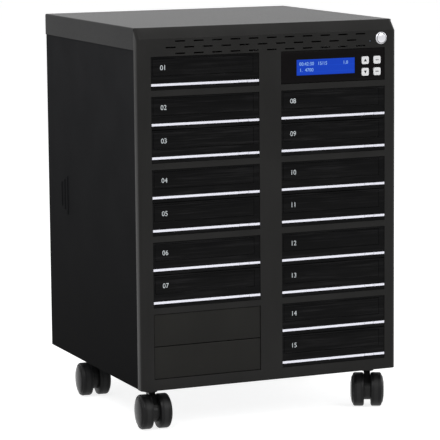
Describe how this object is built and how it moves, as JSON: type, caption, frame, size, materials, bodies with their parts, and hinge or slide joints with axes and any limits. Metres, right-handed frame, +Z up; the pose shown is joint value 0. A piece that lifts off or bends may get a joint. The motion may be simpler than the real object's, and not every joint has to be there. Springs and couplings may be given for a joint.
{
  "type": "disc duplicator tower",
  "caption": "Black upright disc duplicator tower with two columns of tray-loading optical drives, a blue display with push keys, blank bay covers and twin-wheel casters.",
  "frame": {"origin": "on the floor under the middle of the tower's bounding box", "axes": "+Z up, +Y from the front of the tower to its rear, +X to the right seen from the front"},
  "size_m": [0.3634, 0.3528, 0.517],
  "materials": {
    "bezel_plastic": "fine matt moulded texture",
    "cover_paint": "fine textured powder coat",
    "side_paint": "fine textured powder coat",
    "rear_steel": "powder coat",
    "pan_steel": "powder coat",
    "cage_steel": "zinc plated",
    "cover_plastic": "fine matt",
    "fascia_plastic": "smooth satin",
    "display": "blue backlit screen",
    "board": "solder mask",
    "housing_steel": "zinc plated",
    "drive_plastic": "gloss with faint brushed lines",
    "strip_chrome": "bright",
    "fan_plastic": "matt",
    "psu_steel": "zinc plated",
    "tray_plastic": "satin with a gloss door",
    "key_chrome": "bright plated",
    "key_plastic": "white",
    "button_metal": "silver paint",
    "rotor_plastic": "matt",
    "rocker_plastic": "satin",
    "fork_nylon": "moulded",
    "wheel_nylon": "satin"
  },
  "bodies": {
    "cabinet": {"front_bezel": "bezel_plastic", "top_cover": "cover_paint", "side_panels": "side_paint", "rear_panel": "rear_steel", "base_pan": "pan_steel", "drive_cage": "cage_steel", "bay_covers": "cover_plastic", "control_fascia": "fascia_plastic", "display_module": "display", "controller_board": "board", "drive_housings": "housing_steel", "drive_bezels": "drive_plastic", "drive_trim_strips": "strip_chrome", "fan_frame": "fan_plastic", "psu_housing": "psu_steel"},
    "tray_01": {"disc_tray_01": "tray_plastic"},
    "eject_01": {"eject_key_01": "key_chrome"},
    "tray_02": {"disc_tray_02": "tray_plastic"},
    "eject_02": {"eject_key_02": "key_chrome"},
    "tray_03": {"disc_tray_03": "tray_plastic"},
    "eject_03": {"eject_key_03": "key_chrome"},
    "tray_04": {"disc_tray_04": "tray_plastic"},
    "eject_04": {"eject_key_04": "key_chrome"},
    "tray_05": {"disc_tray_05": "tray_plastic"},
    "eject_05": {"eject_key_05": "key_chrome"},
    "tray_06": {"disc_tray_06": "tray_plastic"},
    "eject_06": {"eject_key_06": "key_chrome"},
    "tray_07": {"disc_tray_07": "tray_plastic"},
    "eject_07": {"eject_key_07": "key_chrome"},
    "tray_08": {"disc_tray_08": "tray_plastic"},
    "eject_08": {"eject_key_08": "key_chrome"},
    "tray_09": {"disc_tray_09": "tray_plastic"},
    "eject_09": {"eject_key_09": "key_chrome"},
    "tray_10": {"disc_tray_10": "tray_plastic"},
    "eject_10": {"eject_key_10": "key_chrome"},
    "tray_11": {"disc_tray_11": "tray_plastic"},
    "eject_11": {"eject_key_11": "key_chrome"},
    "tray_12": {"disc_tray_12": "tray_plastic"},
    "eject_12": {"eject_key_12": "key_chrome"},
    "tray_13": {"disc_tray_13": "tray_plastic"},
    "eject_13": {"eject_key_13": "key_chrome"},
    "tray_14": {"disc_tray_14": "tray_plastic"},
    "eject_14": {"eject_key_14": "key_chrome"},
    "tray_15": {"disc_tray_15": "tray_plastic"},
    "eject_15": {"eject_key_15": "key_chrome"},
    "up": {"up_key": "key_plastic"},
    "down": {"down_key": "key_plastic"},
    "enter": {"enter_key": "key_plastic"},
    "escape": {"escape_key": "key_plastic"},
    "power": {"power_button": "button_metal"},
    "rotor": {"fan_rotor": "rotor_plastic"},
    "rocker": {"psu_rocker": "rocker_plastic"},
    "swivel_front_left": {"caster_fork_front_left": "fork_nylon"},
    "wheels_front_left": {"caster_wheels_front_left": "wheel_nylon"},
    "swivel_front_right": {"caster_fork_front_right": "fork_nylon"},
    "wheels_front_right": {"caster_wheels_front_right": "wheel_nylon"},
    "swivel_rear_left": {"caster_fork_rear_left": "fork_nylon"},
    "wheels_rear_left": {"caster_wheels_rear_left": "wheel_nylon"},
    "swivel_rear_right": {"caster_fork_rear_right": "fork_nylon"},
    "wheels_rear_right": {"caster_wheels_rear_right": "wheel_nylon"}
  },
  "joints": [
    {"name": "tray_slide_01", "type": "slide", "parent": "cabinet", "child": "tray_01", "axis": [0, -1, 0], "range_m": [0, 0.138]},
    {"name": "eject_press_01", "type": "slide", "parent": "cabinet", "child": "eject_01", "axis": [0, 1, 0], "range_m": [0, 0.0008], "stiffness_N_per_m": 400},
    {"name": "tray_slide_02", "type": "slide", "parent": "cabinet", "child": "tray_02", "axis": [0, -1, 0], "range_m": [0, 0.138]},
    {"name": "eject_press_02", "type": "slide", "parent": "cabinet", "child": "eject_02", "axis": [0, 1, 0], "range_m": [0, 0.0008], "stiffness_N_per_m": 400},
    {"name": "tray_slide_03", "type": "slide", "parent": "cabinet", "child": "tray_03", "axis": [0, -1, 0], "range_m": [0, 0.138]},
    {"name": "eject_press_03", "type": "slide", "parent": "cabinet", "child": "eject_03", "axis": [0, 1, 0], "range_m": [0, 0.0008], "stiffness_N_per_m": 400},
    {"name": "tray_slide_04", "type": "slide", "parent": "cabinet", "child": "tray_04", "axis": [0, -1, 0], "range_m": [0, 0.138]},
    {"name": "eject_press_04", "type": "slide", "parent": "cabinet", "child": "eject_04", "axis": [0, 1, 0], "range_m": [0, 0.0008], "stiffness_N_per_m": 400},
    {"name": "tray_slide_05", "type": "slide", "parent": "cabinet", "child": "tray_05", "axis": [0, -1, 0], "range_m": [0, 0.138]},
    {"name": "eject_press_05", "type": "slide", "parent": "cabinet", "child": "eject_05", "axis": [0, 1, 0], "range_m": [0, 0.0008], "stiffness_N_per_m": 400},
    {"name": "tray_slide_06", "type": "slide", "parent": "cabinet", "child": "tray_06", "axis": [0, -1, 0], "range_m": [0, 0.138]},
    {"name": "eject_press_06", "type": "slide", "parent": "cabinet", "child": "eject_06", "axis": [0, 1, 0], "range_m": [0, 0.0008], "stiffness_N_per_m": 400},
    {"name": "tray_slide_07", "type": "slide", "parent": "cabinet", "child": "tray_07", "axis": [0, -1, 0], "range_m": [0, 0.138]},
    {"name": "eject_press_07", "type": "slide", "parent": "cabinet", "child": "eject_07", "axis": [0, 1, 0], "range_m": [0, 0.0008], "stiffness_N_per_m": 400},
    {"name": "tray_slide_08", "type": "slide", "parent": "cabinet", "child": "tray_08", "axis": [0, -1, 0], "range_m": [0, 0.138]},
    {"name": "eject_press_08", "type": "slide", "parent": "cabinet", "child": "eject_08", "axis": [0, 1, 0], "range_m": [0, 0.0008], "stiffness_N_per_m": 400},
    {"name": "tray_slide_09", "type": "slide", "parent": "cabinet", "child": "tray_09", "axis": [0, -1, 0], "range_m": [0, 0.138]},
    {"name": "eject_press_09", "type": "slide", "parent": "cabinet", "child": "eject_09", "axis": [0, 1, 0], "range_m": [0, 0.0008], "stiffness_N_per_m": 400},
    {"name": "tray_slide_10", "type": "slide", "parent": "cabinet", "child": "tray_10", "axis": [0, -1, 0], "range_m": [0, 0.138]},
    {"name": "eject_press_10", "type": "slide", "parent": "cabinet", "child": "eject_10", "axis": [0, 1, 0], "range_m": [0, 0.0008], "stiffness_N_per_m": 400},
    {"name": "tray_slide_11", "type": "slide", "parent": "cabinet", "child": "tray_11", "axis": [0, -1, 0], "range_m": [0, 0.138]},
    {"name": "eject_press_11", "type": "slide", "parent": "cabinet", "child": "eject_11", "axis": [0, 1, 0], "range_m": [0, 0.0008], "stiffness_N_per_m": 400},
    {"name": "tray_slide_12", "type": "slide", "parent": "cabinet", "child": "tray_12", "axis": [0, -1, 0], "range_m": [0, 0.138]},
    {"name": "eject_press_12", "type": "slide", "parent": "cabinet", "child": "eject_12", "axis": [0, 1, 0], "range_m": [0, 0.0008], "stiffness_N_per_m": 400},
    {"name": "tray_slide_13", "type": "slide", "parent": "cabinet", "child": "tray_13", "axis": [0, -1, 0], "range_m": [0, 0.138]},
    {"name": "eject_press_13", "type": "slide", "parent": "cabinet", "child": "eject_13", "axis": [0, 1, 0], "range_m": [0, 0.0008], "stiffness_N_per_m": 400},
    {"name": "tray_slide_14", "type": "slide", "parent": "cabinet", "child": "tray_14", "axis": [0, -1, 0], "range_m": [0, 0.138]},
    {"name": "eject_press_14", "type": "slide", "parent": "cabinet", "child": "eject_14", "axis": [0, 1, 0], "range_m": [0, 0.0008], "stiffness_N_per_m": 400},
    {"name": "tray_slide_15", "type": "slide", "parent": "cabinet", "child": "tray_15", "axis": [0, -1, 0], "range_m": [0, 0.138]},
    {"name": "eject_press_15", "type": "slide", "parent": "cabinet", "child": "eject_15", "axis": [0, 1, 0], "range_m": [0, 0.0008], "stiffness_N_per_m": 400},
    {"name": "up_press", "type": "slide", "parent": "cabinet", "child": "up", "axis": [0, 1, 0], "range_m": [0, 0.0007], "stiffness_N_per_m": 400},
    {"name": "down_press", "type": "slide", "parent": "cabinet", "child": "down", "axis": [0, 1, 0], "range_m": [0, 0.0007], "stiffness_N_per_m": 400},
    {"name": "enter_press", "type": "slide", "parent": "cabinet", "child": "enter", "axis": [0, 1, 0], "range_m": [0, 0.0007], "stiffness_N_per_m": 400},
    {"name": "escape_press", "type": "slide", "parent": "cabinet", "child": "escape", "axis": [0, 1, 0], "range_m": [0, 0.0007], "stiffness_N_per_m": 400},
    {"name": "power_press", "type": "slide", "parent": "cabinet", "child": "power", "axis": [0, 1, 0], "range_m": [0, 0.0016], "stiffness_N_per_m": 500},
    {"name": "fan_spin", "type": "hinge", "parent": "cabinet", "child": "rotor", "pos_m": [0.08906, 0.1574, 0.4], "axis": [0, 1, 0], "continuous": true},
    {"name": "mains_switch", "type": "hinge", "parent": "cabinet", "child": "rocker", "pos_m": [-0.13844, 0.1684, 0.103], "axis": [-1, 0, 0], "range_deg": [0, 16]},
    {"name": "caster_swivel_front_left", "type": "hinge", "parent": "cabinet", "child": "swivel_front_left", "pos_m": [-0.15669, -0.1376, 0.054], "axis": [0, 0, 1], "continuous": true},
    {"name": "wheel_spin_front_left", "type": "hinge", "parent": "swivel_front_left", "child": "wheels_front_left", "pos_m": [-0.15773, -0.14955, 0.0225], "axis": [0.9962, -0.0872, 0], "continuous": true},
    {"name": "caster_swivel_front_right", "type": "hinge", "parent": "cabinet", "child": "swivel_front_right", "pos_m": [0.15531, -0.1376, 0.054], "axis": [0, 0, 1], "continuous": true},
    {"name": "wheel_spin_front_right", "type": "hinge", "parent": "swivel_front_right", "child": "wheels_front_right", "pos_m": [0.15024, -0.14848, 0.0225], "axis": [0.9063, -0.4226, 0], "continuous": true},
    {"name": "caster_swivel_rear_left", "type": "hinge", "parent": "cabinet", "child": "swivel_rear_left", "pos_m": [-0.15669, 0.0864, 0.054], "axis": [0, 0, 1], "continuous": true},
    {"name": "wheel_spin_rear_left", "type": "hinge", "parent": "swivel_rear_left", "child": "wheels_rear_left", "pos_m": [-0.15773, 0.07445, 0.0225], "axis": [0.9962, -0.0872, 0], "continuous": true},
    {"name": "caster_swivel_rear_right", "type": "hinge", "parent": "cabinet", "child": "swivel_rear_right", "pos_m": [0.15531, 0.0864, 0.054], "axis": [0, 0, 1], "continuous": true},
    {"name": "wheel_spin_rear_right", "type": "hinge", "parent": "swivel_rear_right", "child": "wheels_rear_right", "pos_m": [0.15781, 0.07466, 0.0225], "axis": [0.9781, 0.2079, 0], "continuous": true}
  ]
}
